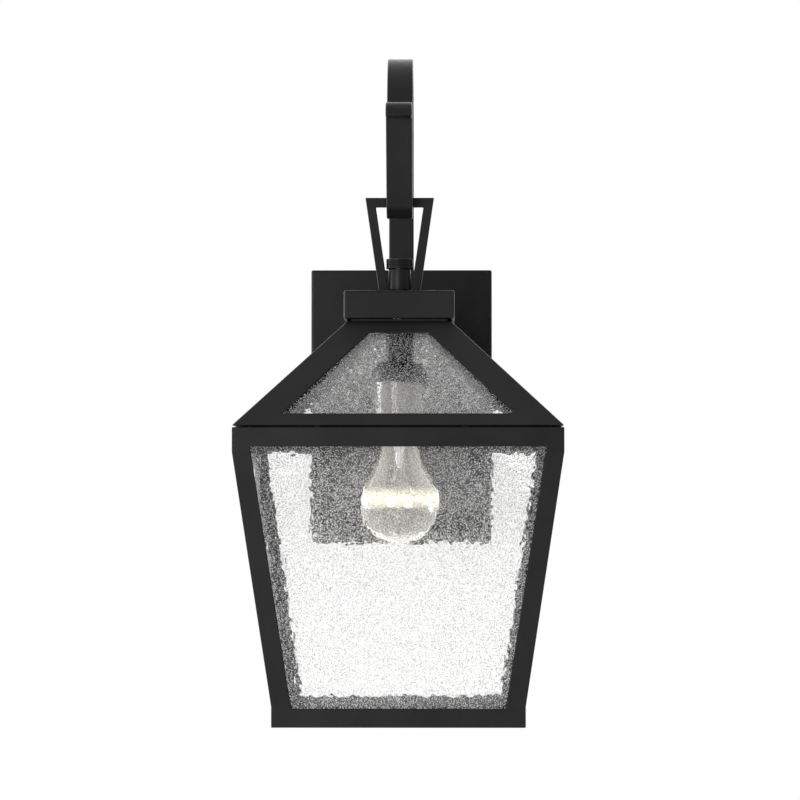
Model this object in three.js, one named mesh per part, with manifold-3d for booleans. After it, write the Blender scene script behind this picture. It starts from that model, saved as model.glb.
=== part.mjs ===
// Outdoor wall lantern: a tapered, four-sided glazed lantern that hangs by a trapezoid loop from a
// shepherd's-hook arm on a rectangular wall plate. Millimetres, +Z up. The wall is the plane Y = 0 and the
// lantern hangs towards -Y. The origin is the centre of the wall plate, on the wall plane.
import * as THREE from 'three';
import { mergeVertices } from 'three/addons/utils/BufferGeometryUtils.js';
import Module from 'manifold-3d';

const wasm = await Module();
wasm.setup();

// ---------------------------------------------------------------- driving dimensions

const GAP = 0.3;            // gap left between pieces that touch
const SHEET = 1.6;          // wall of the folded steel frame
const GLASS = 3.0;          // thickness of every pane
const FLANGE = 11;          // depth of the frame's inward flanges

const PLATE = { width: 145, height: 219, front: -30, rim: -2.3, wall: 1.5 };
const GASKET = { width: 141, height: 215, band: 6, thick: 2 };
const CROSSBAR = { length: 104, height: 19, thick: 2.8, studX: 28, slotFrom: 35, slotTo: 47, groundX: 14 };

const AXIS_Y = -172;        // the lantern's own vertical axis
const ARM = { width: 19.8, thick: 8, footZ: 18, top: 269.4, lean: THREE.MathUtils.degToRad(30) };
const THROAT = { radius: 13, z: 154.4 };
const TIP = { radius: 10, leg: 72, end: THREE.MathUtils.degToRad(170) };
const ARM_SCREWS = [40, 90];

const LOOP = { top: 153.3, bar: 7.2, leg: 7.05, thick: 5, topHalf: 26.1, footHalf: 15.45, pad: 2.2 };
const STEM = { tube: 8.4, tubeTop: 98.9, nut: 10.3, nutTop: 106.7, nipple: 5, wireway: 3, sleeve: 10.5 };
const CAP = { half: 41.35, bottom: 59.2, top: 80.1, wall: 2 };

const ROOF = { bottom: -23.2, bottomHalf: 120.2, top: 57.1, topHalf: 38.9, lip: 5.8 };
const ROOF_WINDOW = { top: 48.6, topHalf: 21.7, bottom: -14, bottomHalf: 84.2 };
const TAB = { width: 4, depth: 3, spacing: 108, shift: -5 };

const BODY = { top: -24.5, upper: -42.2, lower: -227.5, bottom: -242.8, topHalf: 120.2, bottomHalf: 92.8 };
const WINDOW = { top: -38.6, topHalf: 107, bottom: -228.9, bottomHalf: 78.1 };
const PANE = { inset: 3.2, lap: 6.5, top: -35 };

const SOCKET = { cupTop: 26.2, cupBottom: 12, rim: -27, bore: 14.4, radius: 18.5, cup: 20.5 };
const BULB = { bottom: -108.8, radius: 30, neck: 13.6, baseBottom: -29, baseTop: -5, base: 12.9, wall: 0.8 };

// ---------------------------------------------------------------- finishes

const finish = (color, roughness, metalness, extra = {}) =>
  new THREE.MeshStandardMaterial({ color, roughness, metalness, ...extra });

const BLACK = finish(0x2a2a2b, 0.55, 0.4);
const SEEDED = finish(0xe9eceb, 0.12, 0, { transparent: true, opacity: 0.35 });
const CLEAR = finish(0xfff6e0, 0.05, 0, { transparent: true, opacity: 0.3 });
const ZINC = finish(0xb9bcc0, 0.35, 1);
const BRASS = finish(0xb89a4e, 0.35, 1);
const PORCELAIN = finish(0xece8dd, 0.3, 0);
const FOAM = finish(0x1c1c1c, 0.9, 0);
const GREEN = finish(0x2f7d45, 0.45, 0.3);
const GLOW = finish(0xffd9a0, 0.5, 0, { emissive: 0xffb45a, emissiveIntensity: 4 });

// ---------------------------------------------------------------- geometry helpers

/** A closed three.js geometry as a solid that can be joined and cut. */
function solid(geometry) {
  geometry.deleteAttribute('normal');
  geometry.deleteAttribute('uv');
  const merged = mergeVertices(geometry, 1e-4);
  const vertProperties = new Float32Array(merged.attributes.position.array);
  const triVerts = new Uint32Array(merged.index.array);
  return new wasm.Manifold(new wasm.Mesh({ numProp: 3, vertProperties, triVerts }));
}

/** A solid's faces as a flat-shaded three.js geometry. */
function faces(shape) {
  const mesh = shape.getMesh();
  const geometry = new THREE.BufferGeometry();
  geometry.setAttribute('position', new THREE.BufferAttribute(new Float32Array(mesh.vertProperties), 3));
  geometry.setIndex(new THREE.BufferAttribute(new Uint32Array(mesh.triVerts), 1));
  const flat = geometry.toNonIndexed();
  flat.computeVertexNormals();
  return flat;
}

/** A block between two opposite corners. */
function block(x0, x1, y0, y1, z0, z1) {
  const box = new THREE.BoxGeometry(x1 - x0, y1 - y0, z1 - z0);
  box.translate((x0 + x1) / 2, (y0 + y1) / 2, (z0 + z1) / 2);
  return solid(box);
}

/** A stack of rectangles [z, x0, x1, y0, y1], lowest first, joined by flat sides. */
function tower(levels) {
  const points = levels.flatMap(([z, x0, x1, y0, y1]) => [x0, y0, z, x1, y0, z, x1, y1, z, x0, y1, z]);
  const index = [0, 2, 1, 0, 3, 2];
  const last = (levels.length - 1) * 4;
  index.push(last, last + 1, last + 2, last, last + 2, last + 3);
  for (let level = 0; level < levels.length - 1; level += 1) {
    for (let side = 0; side < 4; side += 1) {
      const a = level * 4 + side;
      const b = level * 4 + ((side + 1) % 4);
      index.push(a, b, b + 4, a, b + 4, a + 4);
    }
  }
  const geometry = new THREE.BufferGeometry();
  geometry.setAttribute('position', new THREE.BufferAttribute(new Float32Array(points), 3));
  geometry.setIndex(index);
  return solid(geometry);
}

/** A square tower about the Z axis from [z, half width] pairs, lowest first. */
const squareTower = (levels) => tower(levels.map(([z, half]) => [z, -half, half, -half, half]));

/** A solid of revolution about Z from [radius, z] points that start and end on the axis or close up. */
function turned(profile, segments = 32) {
  const points = profile.map(([radius, z]) => new THREE.Vector2(radius, z));
  const lathe = new THREE.LatheGeometry(points, segments);
  lathe.rotateX(Math.PI / 2);
  return solid(lathe);
}

/** A plain rod along Z. */
const rod = (radius, z0, z1, segments = 32) =>
  turned([[0, z0], [radius, z0], [radius, z1], [0, z1]], segments);

/** A pipe along Z: a rod with a bore, from z0 to z1. */
const pipe = (outer, inner, z0, z1, segments = 32) =>
  turned([[inner, z0], [outer, z0], [outer, z1], [inner, z1], [inner, z0]], segments);

/** Turns a solid made along +Z so that it runs along -Y, out of the wall plate's front. */
const outward = (shape) => shape.rotate([90, 0, 0]);

/** An outline drawn in (Y, Z), carried across X from -width / 2 to width / 2. */
function across(points, width) {
  const shape = new THREE.Shape(points);
  const geometry = new THREE.ExtrudeGeometry(shape, { depth: width, bevelEnabled: false, steps: 1 });
  geometry.translate(0, 0, -width / 2);
  const toYZ = new THREE.Matrix4().makeBasis(
    new THREE.Vector3(0, 1, 0), new THREE.Vector3(0, 0, 1), new THREE.Vector3(1, 0, 0));
  geometry.applyMatrix4(toYZ);
  return solid(geometry);
}

/** The value at z on the straight line through (z0, v0) and (z1, v1). */
const along = (z, z0, v0, z1, v1) => v0 + ((z - z0) * (v1 - v0)) / (z1 - z0);

/** Adds a shape to a group as a named mesh. */
function add(group, name, shape, material) {
  const mesh = new THREE.Mesh(faces(shape), material);
  mesh.name = name;
  group.add(mesh);
}

// ---------------------------------------------------------------- wall plate and its fixings

/** The wall plate: a shallow pan, open towards the wall, drilled for the studs and the arm's screws. */
function backplate() {
  const { width, height, front, rim, wall } = PLATE;
  const inX = width / 2 - wall;
  const inZ = height / 2 - wall;
  const cavity = block(-inX, inX, front + wall, 1, -inZ, inZ);
  let pan = block(-width / 2, width / 2, front, rim, -height / 2, height / 2).subtract(cavity);
  for (const side of [-1, 1]) {
    pan = pan.subtract(outward(rod(2.5, 20, 40, 20)).translate([side * CROSSBAR.studX, 0, 0]));
  }
  for (const z of ARM_SCREWS) {
    pan = pan.subtract(outward(rod(3.3, 20, 40, 20)).translate([0, 0, z]));
  }
  return pan;
}

/** The foam frame between the pan's rim and the wall. */
function wallGasket() {
  const { width, height, band, thick } = GASKET;
  const frame = block(-width / 2, width / 2, -thick, 0, -height / 2, height / 2);
  const inX = width / 2 - band;
  const inZ = height / 2 - band;
  return frame.subtract(block(-inX, inX, -thick - 1, 1, -inZ, inZ));
}

/** The flat bar that is screwed to the wall box, with box slots, stud holes and a ground screw hole. */
function crossbar() {
  const { length, height, thick, studX, slotFrom, slotTo, groundX } = CROSSBAR;
  let bar = block(-length / 2, length / 2, -thick, 0, -height / 2, height / 2);
  for (const side of [-1, 1]) {
    const ends = [side * slotFrom, side * slotTo].sort((a, b) => a - b);
    bar = bar.subtract(block(ends[0], ends[1], -10, 10, -2.4, 2.4));
    bar = bar.subtract(outward(rod(2.4, -5, 10, 16)).translate([side * studX, 0, 0]));
  }
  return bar.subtract(outward(rod(2.2, -5, 10, 16)).translate([groundX, 0, 0]));
}

/** A domed hex nut along +Z, sitting on z = 0, with a blind hole of the given radius. */
function capNut(hole) {
  const hex = rod(6.2, 0, 5.5, 6);
  const dome = turned([[0, 5.2], [5, 5.2], [5, 6.4], [4.2, 9], [2.4, 10.8], [0, 11.4]], 20);
  return hex.add(dome).subtract(rod(hole, -1, 8.2, 16));
}

/** A pan-head screw along +Z: its head stands on z = 0 and its shank goes down to -length. */
function panScrew(shank, head, length) {
  const profile = [[0, -length], [shank, -length], [shank, 0], [head, 0], [head, 1.8], [head * 0.7, 3],
    [0, 3.4]];
  const slot = block(-head, head, -0.5, 0.5, 2.2, 5);
  return turned(profile, 20).subtract(slot);
}

function wallMount(group) {
  add(group, 'backplate', backplate(), BLACK);
  add(group, 'wall_gasket', wallGasket(), FOAM);
  add(group, 'mounting_crossbar', crossbar(), ZINC);
  for (const [side, label] of [[-1, 'left'], [1, 'right']]) {
    const place = [side * CROSSBAR.studX, 0, 0];
    add(group, `crossbar_stud_${label}`, outward(rod(2.1, 0.4, 37, 16)).translate(place), ZINC);
    const nut = outward(capNut(2.4)).translate([place[0], PLATE.front - GAP, 0]);
    add(group, `cap_nut_${label}`, nut, BLACK);
  }
  const ground = outward(panScrew(1.9, 4, 2.4)).translate([CROSSBAR.groundX, -CROSSBAR.thick - GAP, 0]);
  add(group, 'ground_screw', ground, GREEN);
}

// ---------------------------------------------------------------- arm

/** The arm's centreline in (Y, Z): foot, arch, drop, throat, leaning front leg and rolled tip. */
function armCentreline() {
  const rear = PLATE.front - GAP - ARM.thick / 2;
  const drop = AXIS_Y + THROAT.radius;
  const arch = (rear - drop) / 2;
  const archZ = ARM.top - ARM.thick / 2 - arch;
  const path = new THREE.Path();
  path.moveTo(rear, ARM.footZ);
  path.lineTo(rear, archZ);
  path.absarc(rear - arch, archZ, arch, 0, Math.PI, false);
  path.lineTo(drop, THROAT.z);
  path.absarc(AXIS_Y, THROAT.z, THROAT.radius, 0, -Math.PI + ARM.lean, true);
  const legY = path.currentPoint.x - TIP.leg * Math.sin(ARM.lean);
  const legZ = path.currentPoint.y + TIP.leg * Math.cos(ARM.lean);
  path.lineTo(legY, legZ);
  const rollY = legY - TIP.radius * Math.cos(ARM.lean);
  const rollZ = legZ - TIP.radius * Math.sin(ARM.lean);
  path.absarc(rollY, rollZ, TIP.radius, ARM.lean, TIP.end, false);
  return path.getPoints(9);
}

/** The outline of a bar of the given thickness about an open centreline. */
function thicken(line, thick) {
  const left = [];
  const right = [];
  line.forEach((point, i) => {
    const before = line[Math.max(i - 1, 0)];
    const after = line[Math.min(i + 1, line.length - 1)];
    const into = point.clone().sub(before).normalize();
    const out = after.clone().sub(point).normalize();
    const heading = into.add(out).normalize();
    const side = new THREE.Vector2(-heading.y, heading.x).multiplyScalar(thick / 2);
    left.push(point.clone().add(side));
    right.unshift(point.clone().sub(side));
  });
  return left.concat(right);
}

function hookArm(group) {
  let arm = across(thicken(armCentreline(), ARM.thick), ARM.width);
  ARM_SCREWS.forEach((z, i) => {
    arm = arm.subtract(outward(rod(3.3, 25, 45, 20)).translate([0, 0, z]));
    const screw = outward(panScrew(3, 5.5, 14)).translate([0, PLATE.front - ARM.thick - 2 * GAP, z]);
    add(group, `arm_screw_${['lower', 'upper'][i]}`, screw, BLACK);
  });
  add(group, 'hook_arm', arm, BLACK);
}

// ---------------------------------------------------------------- loop, stem and cap

/** The closed trapezoid loop, with the foot pad that the stem clamps on the cap. */
function hangingLoop() {
  const foot = CAP.top + GAP;
  const outerHalf = (z) => along(z, foot, LOOP.footHalf, LOOP.top, LOOP.topHalf);
  const padTop = foot + LOOP.pad;
  const barZ = LOOP.top - LOOP.bar;
  const y = LOOP.thick / 2;
  const outer = tower([[foot, -outerHalf(foot), outerHalf(foot), -y, y],
    [LOOP.top, -outerHalf(LOOP.top), outerHalf(LOOP.top), -y, y]]);
  const lowIn = outerHalf(padTop) - LOOP.leg;
  const highIn = outerHalf(barZ) - LOOP.leg;
  const hole = tower([[padTop, -lowIn, lowIn, -20, 20], [barZ, -highIn, highIn, -20, 20]]);
  const pad = block(-LOOP.footHalf, LOOP.footHalf, -8, 8, foot, padTop);
  return outer.subtract(hole).add(pad).subtract(rod(STEM.nipple + GAP, foot - 1, padTop + 1, 24));
}

/** The square cap: a box open underneath, drilled for the stem. */
function capBlock() {
  const { half, bottom, top, wall } = CAP;
  const inside = block(-half + wall, half - wall, -half + wall, half - wall, bottom - 1, top - wall);
  const box = block(-half, half, -half, half, bottom, top);
  return box.subtract(inside).subtract(rod(STEM.nipple + GAP, top - 10, top + 1, 24));
}

/** The grooved ring nut on top of the stem, open in the middle for the cable. */
function ringNut() {
  const z0 = STEM.tubeTop + GAP;
  const z1 = STEM.nutTop;
  const r = STEM.nut;
  const bore = STEM.nipple + GAP;
  return turned([[bore, z0], [r - 1, z0], [r, z0 + 1], [r, z0 + 2.6], [r - 0.7, z0 + 3], [r - 0.7, z0 + 3.4],
    [r, z0 + 3.8], [r, z1 - 1], [r - 1, z1], [bore, z1], [bore, z0]], 32);
}

function stemAndCap(group) {
  const padTop = CAP.top + GAP + LOOP.pad;
  const bore = STEM.nipple + GAP;
  add(group, 'hanging_loop', hangingLoop(), BLACK);
  add(group, 'stem_tube', pipe(STEM.tube, bore, padTop + GAP, STEM.tubeTop), BLACK);
  add(group, 'stem_ring_nut', ringNut(), BLACK);
  add(group, 'stem_nipple', pipe(STEM.nipple, STEM.wireway, 16, STEM.nutTop - 2, 24), ZINC);
  add(group, 'cap_block', capBlock(), BLACK);
  const seat = block(-36, 36, -36, 36, ROOF.top + GAP, CAP.bottom - GAP).subtract(rod(bore, 50, 70, 24));
  add(group, 'cap_gasket', seat, FOAM);
}

// ---------------------------------------------------------------- roof

const roofHalf = (z) => along(z, ROOF.bottom, ROOF.bottomHalf, ROOF.top, ROOF.topHalf);
const roofEdge = (z) =>
  along(z, ROOF_WINDOW.bottom, ROOF_WINDOW.bottomHalf, ROOF_WINDOW.top, ROOF_WINDOW.topHalf);
const SLOPE = Math.hypot(ROOF.bottomHalf - ROOF.topHalf, ROOF.top - ROOF.bottom) / (ROOF.top - ROOF.bottom);

/** The roof's folded sheet as one hollow pyramid, closed on top, which the members are cut from. */
function roofShell() {
  const skin = SHEET * SLOPE;
  const low = ROOF.bottom - 5;
  const high = ROOF.top - SHEET;
  const outside = squareTower([[ROOF.bottom, ROOF.bottomHalf], [ROOF.top, ROOF.topHalf]]);
  return outside.subtract(squareTower([[low, roofHalf(low) - skin], [high, roofHalf(high) - skin]]));
}

/** A corner column outside the line edge(z) on both faces, from z0 to z1. */
function cornerColumn(edge, z0, z1, sideX, sideY, far = 140) {
  const span = (z, side) => (side > 0 ? [edge(z), far] : [-far, -edge(z)]);
  return tower([z0, z1].map((z) => [z, ...span(z, sideX), ...span(z, sideY)]));
}

/** The space between two corner columns on the -Y face, a gap clear of both, from z0 to z1. */
function faceBay(edge, z0, z1, far = 140) {
  return tower([z0, z1].map((z) => [z, -edge(z) + GAP, edge(z) - GAP, -far, 0]));
}

/** One roof pane on the -Y face: a slab parallel to the roof slope, lapped behind the frame. */
function roofPane() {
  const outer = (SHEET + GAP) * SLOPE;
  const inner = (SHEET + GAP + GLASS) * SLOPE;
  const lap = 8;
  return tower([ROOF_WINDOW.bottom - 4.5, ROOF_WINDOW.top + 3.4].map((z) =>
    [z, -roofEdge(z) - lap, roofEdge(z) + lap, outer - roofHalf(z), inner - roofHalf(z)]));
}

// ---------------------------------------------------------------- body

const bodyEdge = (z) => along(z, WINDOW.bottom, WINDOW.bottomHalf, WINDOW.top, WINDOW.topHalf);
const slantHalf = (z) => along(z, BODY.lower, BODY.bottomHalf, BODY.upper, BODY.topHalf);

/** The body's folded sheet as one open square tube, which the members are cut from. */
function bodyShell() {
  const levels = (inset, extra) => [[BODY.bottom - extra, BODY.bottomHalf - inset],
    [BODY.lower, BODY.bottomHalf - inset], [BODY.upper, BODY.topHalf - inset],
    [BODY.top + extra, BODY.topHalf - inset]];
  return squareTower(levels(0, 0)).subtract(squareTower(levels(SHEET, 1)));
}

/** One body pane on the -Y face: a slanted slab that stands on the bottom rail's flange. */
function bodyPane() {
  const foot = BODY.bottom + SHEET + GAP;
  return tower([foot, PANE.top].map((z) => {
    const front = PANE.inset - slantHalf(z);
    return [z, -bodyEdge(z) - PANE.lap, bodyEdge(z) + PANE.lap, front, front + GLASS];
  }));
}

/** An angle rail on the -Y face: the shell's face between z0 and z1 with an inward flange at flangeZ. */
function rail(shell, edge, z0, z1, flangeZ, half) {
  const bay = faceBay(edge, z0, z1);
  const flange = block(-half, half, 0.8 - half, FLANGE - half, flangeZ, flangeZ + SHEET);
  return shell.intersect(bay).add(flange.intersect(bay));
}

const CORNERS = [[-1, -1, 'front_left'], [1, -1, 'front_right'], [1, 1, 'back_right'], [-1, 1, 'back_left']];

function roofAndBody(group) {
  const roof = roofShell();
  const body = bodyShell();
  const crownZ = ROOF_WINDOW.top;
  const crown = roof.intersect(block(-60, 60, -60, 60, crownZ, ROOF.top + 1));
  add(group, 'roof_crown', crown.subtract(rod(STEM.nipple + GAP, 50, 60, 24)), BLACK);
  for (const [x, y, label] of CORNERS) {
    const hip = roof.intersect(cornerColumn(roofEdge, ROOF.bottom, crownZ - GAP, x, y));
    add(group, `roof_hip_${label}`, hip, BLACK);
    const post = body.intersect(cornerColumn(bodyEdge, BODY.bottom, BODY.top, x, y));
    add(group, `corner_post_${label}`, post, BLACK);
  }
  const lipFace = FLANGE + 2 - ROOF.bottomHalf;
  const lip = block(-120, 120, lipFace - SHEET, lipFace, ROOF.bottom - ROOF.lip, ROOF.bottom + SHEET)
    .intersect(faceBay(roofEdge, ROOF.bottom - ROOF.lip, ROOF_WINDOW.bottom));
  const roofRail = rail(roof, roofEdge, ROOF.bottom, ROOF_WINDOW.bottom, ROOF.bottom, ROOF.bottomHalf - 2)
    .add(lip);
  const topRail = rail(body, bodyEdge, WINDOW.top, BODY.top, BODY.top - SHEET, BODY.topHalf);
  const bottomRail = rail(body, bodyEdge, BODY.bottom, WINDOW.bottom, BODY.bottom, BODY.bottomHalf);
  ['front', 'right', 'back', 'left'].forEach((label, i) => {
    const turn = [0, 0, 90 * i];
    add(group, `roof_rail_${label}`, roofRail.rotate(turn), BLACK);
    add(group, `roof_pane_${label}`, roofPane().rotate(turn), SEEDED);
    add(group, `top_rail_${label}`, topRail.rotate(turn), BLACK);
    add(group, `bottom_rail_${label}`, bottomRail.rotate(turn), BLACK);
    add(group, `body_pane_${label}`, bodyPane().rotate(turn), SEEDED);
  });
  for (const [side, faceName] of [[-1, 'front'], [1, 'back']]) {
    for (const [hand, label] of [[-1, 'left'], [1, 'right']]) {
      const x = TAB.shift + (hand * TAB.spacing) / 2;
      const y = side * (BODY.topHalf - 2 - TAB.depth / 2);
      const tab = block(x - TAB.width / 2, x + TAB.width / 2, y - TAB.depth / 2, y + TAB.depth / 2,
        BODY.top + GAP, ROOF.bottom - GAP);
      add(group, `roof_tab_${faceName}_${label}`, tab, BLACK);
    }
  }
}

// ---------------------------------------------------------------- lampholder and bulb

function lampholder(group) {
  const { cupTop, cupBottom, rim, bore, radius, cup } = SOCKET;
  const hole = STEM.nipple + GAP;
  add(group, 'socket_sleeve', pipe(STEM.sleeve, hole, cupTop + GAP, ROOF.top - SHEET - GAP), BLACK);
  const cupProfile = [[hole, cupTop], [hole, cupTop - 2], [cup - 5.6, cupTop - 2], [cup - 1.2, cupTop - 5.5],
    [cup - 1.2, cupBottom], [cup, cupBottom], [cup, cupTop - 5], [cup - 5, cupTop], [hole, cupTop]];
  const bodyProfile = [[0, 10], [0, 4], [bore, 4], [bore, rim], [radius - 2, rim], [radius, rim + 6],
    [radius, 16], [radius - 3, 18], [hole + 2, 18], [hole + 2, 10], [0, 10]];
  add(group, 'socket_cup', turned(cupProfile), BLACK);
  add(group, 'socket_body', turned(bodyProfile), PORCELAIN);
  add(group, 'socket_shell', pipe(bore - GAP, bore - 1, rim + 1, 2), BRASS);
  add(group, 'socket_contact', turned([[0, 0.6], [5, 2.4], [5, 3.4], [0, 3.4]], 16), BRASS);
}

/** The bulb's outline as [radius, z] from the bottom tip up to its open neck, inset by a wall. */
function bulbOutline(inset) {
  const middle = BULB.bottom + BULB.radius;
  const radius = BULB.radius - inset;
  const neckTop = BULB.baseBottom + 4;
  const points = [];
  for (let step = 0; step <= 10; step += 1) {
    const angle = THREE.MathUtils.degToRad(-90 + step * 12);
    points.push([step === 0 ? 0 : radius * Math.cos(angle), middle + radius * Math.sin(angle)]);
  }
  const [shoulderR, shoulderZ] = points[points.length - 1];
  const neck = BULB.base - 1.2 - inset;
  for (let step = 1; step <= 5; step += 1) {
    const t = step / 5;
    const ease = 1 - (1 - t) ** 1.7;
    points.push([along(ease, 0, shoulderR, 1, neck), along(t, 0, shoulderZ, 1, neckTop)]);
  }
  return points;
}

function bulb(group) {
  const outline = bulbOutline(0);
  const inside = bulbOutline(BULB.wall).reverse();
  add(group, 'bulb_envelope', turned([...outline, ...inside], 32), CLEAR);
  const { base, baseTop, baseBottom, neck } = BULB;
  const skirt = baseBottom - 0.5;
  const inner = base - 0.5;
  const shell = [[neck - 0.6, skirt], [neck, skirt], [base, baseBottom + 2], [base, baseTop],
    [6, baseTop + 2.2], [0, baseTop + 2.2], [0, baseTop + 1.2], [5.6, baseTop + 1.2], [inner, baseTop - 0.5],
    [inner, baseBottom + 2], [neck - 0.6, skirt]];
  add(group, 'bulb_base', turned(shell), BRASS);
  const press = turned([[0, -52], [3, -51], [3.4, -40], [6, -32], [6, -28], [0, -28]], 16);
  const wires = [-1, 1].map((side) => {
    const run = new THREE.CatmullRomCurve3([new THREE.Vector3(side * 1.6, 0, -50),
      new THREE.Vector3(side * 5, 0, -60), new THREE.Vector3(side * 13, 0, -73.4)]);
    return wire(run, 0.45, 8);
  });
  add(group, 'filament_mount', press.add(wires[0]).add(wires[1]), ZINC);
  const filament = new THREE.QuadraticBezierCurve3(new THREE.Vector3(-13, 0, -74.6),
    new THREE.Vector3(0, -9, -76.5), new THREE.Vector3(13, 0, -74.6));
  add(group, 'filament', wire(filament, 0.55, 16), GLOW);
  add(group, 'bulb_contact', turned([[0, baseTop + 2.5], [4, baseTop + 2.5], [3.2, baseTop + 3.8],
    [0, baseTop + 4.2]], 16), BRASS);
}

/** A round wire along a curve, with flat ends. */
function wire(curve, radius, steps) {
  const section = new THREE.Shape();
  section.absarc(0, 0, radius, 0, Math.PI * 2, false);
  return solid(new THREE.ExtrudeGeometry(section, { steps, curveSegments: 4, extrudePath: curve }));
}

// ---------------------------------------------------------------- assembly

const lantern = new THREE.Group();
const wallSide = new THREE.Group();
wallMount(wallSide);
hookArm(wallSide);
const hanging = new THREE.Group();
hanging.position.set(0, AXIS_Y, 0);
stemAndCap(hanging);
roofAndBody(hanging);
lampholder(hanging);
bulb(hanging);
lantern.add(wallSide, hanging);

export default lantern;
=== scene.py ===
"""Outdoor wall lantern: a tapered glazed lantern that hangs from a shepherd's-hook arm on a wall plate.

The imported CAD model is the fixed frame. This script puts the finished surfaces on it: soft-edged steel, clear
seeded glass, a lit bulb, and the studio they stand in. Sizes in the classes are millimetres.
"""
import logging
import math
from dataclasses import dataclass
from enum import Enum
from typing import ClassVar

import bmesh
import bpy
import numpy as np
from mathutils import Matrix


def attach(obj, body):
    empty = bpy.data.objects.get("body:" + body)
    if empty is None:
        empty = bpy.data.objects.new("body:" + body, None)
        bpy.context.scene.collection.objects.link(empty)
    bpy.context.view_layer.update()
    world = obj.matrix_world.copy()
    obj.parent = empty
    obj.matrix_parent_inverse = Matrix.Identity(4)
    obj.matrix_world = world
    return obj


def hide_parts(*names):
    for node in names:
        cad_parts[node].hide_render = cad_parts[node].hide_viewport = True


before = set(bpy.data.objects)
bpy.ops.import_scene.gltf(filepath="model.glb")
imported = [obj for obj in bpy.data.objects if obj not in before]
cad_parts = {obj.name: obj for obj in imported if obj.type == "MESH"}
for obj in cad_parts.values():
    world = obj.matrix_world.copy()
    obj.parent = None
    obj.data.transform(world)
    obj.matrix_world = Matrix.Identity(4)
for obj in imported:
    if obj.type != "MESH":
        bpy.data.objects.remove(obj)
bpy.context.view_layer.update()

LOG = logging.getLogger("lantern")
MM = 0.001
AXIS_Y = -172.0
GAP = 0.3
CORNER_STEPS = 4

Array = np.ndarray
Part = tuple[Array, Array]
Pair = tuple[float, float]
Triple = tuple[float, float, float]
Colour = Triple
Row = tuple[float, float, float, float]


class Body(Enum):
    """The moving bodies that a piece can ride on."""

    WALL = "wall_mount"
    LANTERN = "lantern"
    THREAD = "bulb_thread"
    BULB = "bulb"


class Slot(Enum):
    """The finishes, by their slot names."""

    BLACK = "black_paint"
    SEEDED = "seeded_glass"
    CLEAR = "bulb_glass"
    ZINC = "zinc_plate"
    BRASS = "brass"
    PORCELAIN = "porcelain"
    FOAM = "foam_gasket"
    GREEN = "green_paint"
    GLOW = "filament"


class Side(Enum):
    """The lantern's four faces, counted anticlockwise from above, starting at the front."""

    FRONT = 0
    RIGHT = 1
    BACK = 2
    LEFT = 3


# ---- shader wiring


class Wire:
    """One output socket, with the arithmetic that adds Math nodes."""

    def __init__(self, loom: "Loom", socket: bpy.types.NodeSocket) -> None:
        """Keeps the socket and the loom that it belongs to."""
        self.loom = loom
        self.socket = socket

    def math(self, operation: str, first: "Wire | float", second: "Wire | float") -> "Wire":
        """The result of one Math node, given its operation and its two values or links."""
        return self.loom.node("ShaderNodeMath", {"operation": operation}, {0: first, 1: second})

    def __add__(self, other: "Wire | float") -> "Wire":
        """This plus other."""
        return self.math("ADD", self, other)

    __radd__ = __add__

    def __sub__(self, other: "Wire | float") -> "Wire":
        """This minus other."""
        return self.math("SUBTRACT", self, other)

    def __rsub__(self, other: float) -> "Wire":
        """Other minus this."""
        return self.math("SUBTRACT", other, self)

    def __mul__(self, other: "Wire | float") -> "Wire":
        """This times other."""
        return self.math("MULTIPLY", self, other)

    __rmul__ = __mul__

    def apart(self, value: float) -> "Wire":
        """How far this is from a value."""
        return self.math("ABSOLUTE", self - value, 0.0)

    def larger(self, other: "Wire | float") -> "Wire":
        """The larger of this and other."""
        return self.math("MAXIMUM", self, other)

    def over(self, edge: float) -> "Wire":
        """1 where this is above edge, else 0."""
        return self.math("GREATER_THAN", self, edge)

    def step(self, low: float, high: float) -> "Wire":
        """0 below low, 1 above high, and a smooth rise between them."""
        sockets = {"Value": self, "From Min": low, "From Max": high}
        return self.loom.node("ShaderNodeMapRange", {"interpolation_type": "SMOOTHSTEP"}, sockets)


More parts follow.
